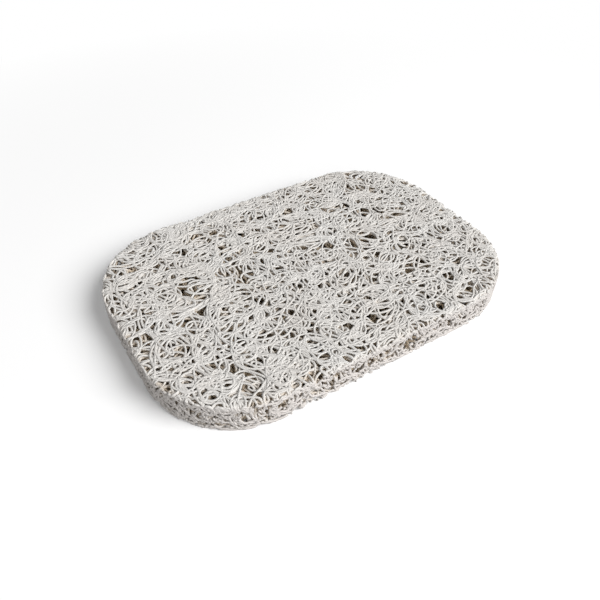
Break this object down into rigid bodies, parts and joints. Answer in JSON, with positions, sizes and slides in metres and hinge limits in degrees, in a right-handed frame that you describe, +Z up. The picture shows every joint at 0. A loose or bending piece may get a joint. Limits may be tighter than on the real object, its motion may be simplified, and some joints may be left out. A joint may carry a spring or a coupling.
{
  "type": "soap saver",
  "caption": "Flat open mat of curled plastic threads, welded where they cross and cut to a rounded rectangle, on which a bar of soap lies and drains.",
  "frame": {"origin": "under the middle of the mat, on the surface that it lies on", "axes": "+X along the mat's length, +Y across it, +Z up through its thickness"},
  "size_m": [0.1206, 0.0826, 0.01],
  "materials": {
    "thread": "satin bone-white extruded thermoplastic thread"
  },
  "bodies": {
    "root": {"base_thread_01": "thread", "base_thread_02": "thread", "base_thread_03": "thread", "base_thread_04": "thread", "base_thread_05": "thread", "base_thread_06": "thread", "base_thread_07": "thread", "base_thread_08": "thread", "base_thread_09": "thread", "base_thread_10": "thread", "base_thread_11": "thread", "base_thread_12": "thread", "base_thread_13": "thread", "base_thread_14": "thread", "base_thread_15": "thread", "lower_thread_01": "thread", "lower_thread_02": "thread", "lower_thread_03": "thread", "lower_thread_04": "thread", "lower_thread_05": "thread", "lower_thread_06": "thread", "lower_thread_07": "thread", "lower_thread_08": "thread", "lower_thread_09": "thread", "lower_thread_10": "thread", "lower_thread_11": "thread", "lower_thread_12": "thread", "lower_thread_13": "thread", "lower_thread_14": "thread", "lower_thread_15": "thread", "upper_thread_01": "thread", "upper_thread_02": "thread", "upper_thread_03": "thread", "upper_thread_04": "thread", "upper_thread_05": "thread", "upper_thread_06": "thread", "upper_thread_07": "thread", "upper_thread_08": "thread", "upper_thread_09": "thread", "upper_thread_10": "thread", "upper_thread_11": "thread", "upper_thread_12": "thread", "upper_thread_13": "thread", "upper_thread_14": "thread", "upper_thread_15": "thread", "face_thread_01": "thread", "face_thread_02": "thread", "face_thread_03": "thread", "face_thread_04": "thread", "face_thread_05": "thread", "face_thread_06": "thread", "face_thread_07": "thread", "face_thread_08": "thread", "face_thread_09": "thread", "face_thread_10": "thread", "face_thread_11": "thread", "face_thread_12": "thread", "face_thread_13": "thread", "face_thread_14": "thread", "face_thread_15": "thread"}
  },
  "joints": []
}
